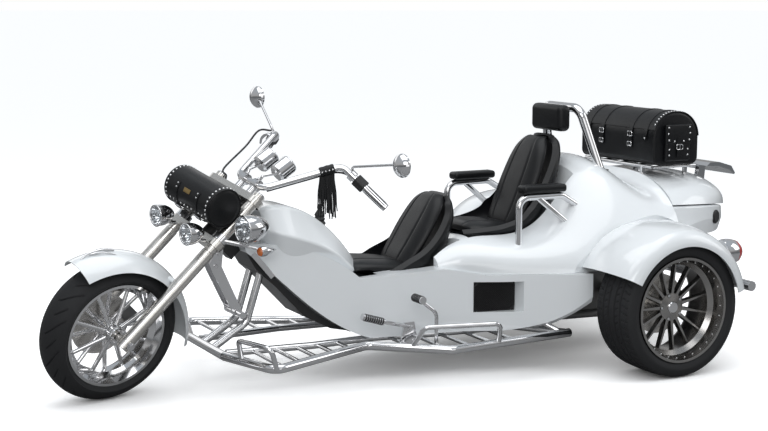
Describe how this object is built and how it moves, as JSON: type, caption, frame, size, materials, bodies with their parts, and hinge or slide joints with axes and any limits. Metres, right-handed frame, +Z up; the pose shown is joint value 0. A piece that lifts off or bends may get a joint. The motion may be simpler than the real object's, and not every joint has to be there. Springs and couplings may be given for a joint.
{
  "type": "motor trike",
  "caption": "Motor trike with a long raked front fork, tandem bucket seats, tube footboards and wide rear wheels under round fenders, with a lidded luggage space behind.",
  "frame": {"origin": "on the floor under the middle of the overall length and width", "axes": "+X forward, +Y to the rider's left, +Z up"},
  "size_m": [3.4888, 1.746, 1.3011],
  "materials": {
    "white_paint": "gloss pearl",
    "chrome": "polished",
    "satin_steel": "satin",
    "black_leather": "grained",
    "black_vinyl": "smooth",
    "black_steel": "semi-gloss",
    "cast_metal": "rough",
    "tyre_rubber": "matt",
    "rim_grey": "polished gunmetal",
    "lens_glass": "clear",
    "black_mesh": "mesh",
    "black_rubber": "matt"
  },
  "bodies": {
    "chassis": {"body_tub": "white_paint", "tank": "white_paint", "rear_body": "white_paint", "rear_fenders": "white_paint", "roll_hoop": "chrome", "armrest_frames": "chrome", "footboard_left": "chrome", "footboard_right": "chrome", "front_bumper": "chrome", "rear_bumper": "chrome", "head_brace": "chrome", "board_controls": "chrome", "tail_lamps": "chrome", "front_seat_cushion": "black_leather", "front_seat_back": "black_leather", "rear_seat_cushion": "black_leather", "rear_seat_back": "black_leather", "headrest": "black_leather", "armrest_pads": "black_leather", "front_seat_shell": "black_vinyl", "rear_seat_shell": "black_vinyl", "main_frame": "black_steel", "under_panel": "black_steel", "lid_hinge": "black_steel", "engine_block": "cast_metal", "rear_axle": "cast_metal", "side_grilles": "black_mesh", "gear_boot": "black_rubber", "fuel_cap": "black_rubber"},
    "steering": {"fork_legs": "satin_steel", "fork_yokes": "satin_steel", "front_axle": "satin_steel", "front_caliper": "cast_metal", "front_fender": "white_paint", "handlebar": "chrome", "bar_risers": "chrome", "grips": "chrome", "switch_housings": "black_rubber", "mirrors": "chrome", "instruments": "chrome", "front_lamps": "chrome", "lamp_lenses": "lens_glass", "lamp_brackets": "chrome", "fork_bag": "black_leather", "bar_fringe": "black_leather", "brake_hose": "black_rubber"},
    "front_wheel": {"front_tyre": "tyre_rubber", "front_rim": "chrome", "front_brake_disc": "satin_steel"},
    "rear_wheel_left": {"rear_tyre_left": "tyre_rubber", "rear_rim_left": "rim_grey", "rear_brake_disc_left": "satin_steel"},
    "rear_wheel_right": {"rear_tyre_right": "tyre_rubber", "rear_rim_right": "rim_grey", "rear_brake_disc_right": "satin_steel"},
    "lid": {"trunk_lid": "white_paint", "luggage_rack": "chrome", "rear_bag": "black_leather", "spoiler": "chrome"}
  },
  "joints": [
    {"name": "steering", "type": "hinge", "parent": "chassis", "child": "steering", "pos_m": [1.40181, 0, 0.27513], "axis": [-0.7206, 0, 0.6934], "range_deg": [-46.2, 9.8]},
    {"name": "front_wheel_spin", "type": "hinge", "parent": "steering", "child": "front_wheel", "pos_m": [1.43474, 0.01562, 0.30936], "axis": [-0.2166, 0.95, -0.2251], "continuous": true},
    {"name": "rear_wheel_left_spin", "type": "hinge", "parent": "chassis", "child": "rear_wheel_left", "pos_m": [-1.00352, 0.717, 0.316], "axis": [0, 1, 0], "continuous": true},
    {"name": "rear_wheel_right_spin", "type": "hinge", "parent": "chassis", "child": "rear_wheel_right", "pos_m": [-1.00352, -0.717, 0.316], "axis": [0, 1, 0], "continuous": true},
    {"name": "lid_hinge", "type": "hinge", "parent": "chassis", "child": "lid", "pos_m": [-1.66752, 0, 0.692], "axis": [0, -1, 0], "range_deg": [0, 60]}
  ]
}
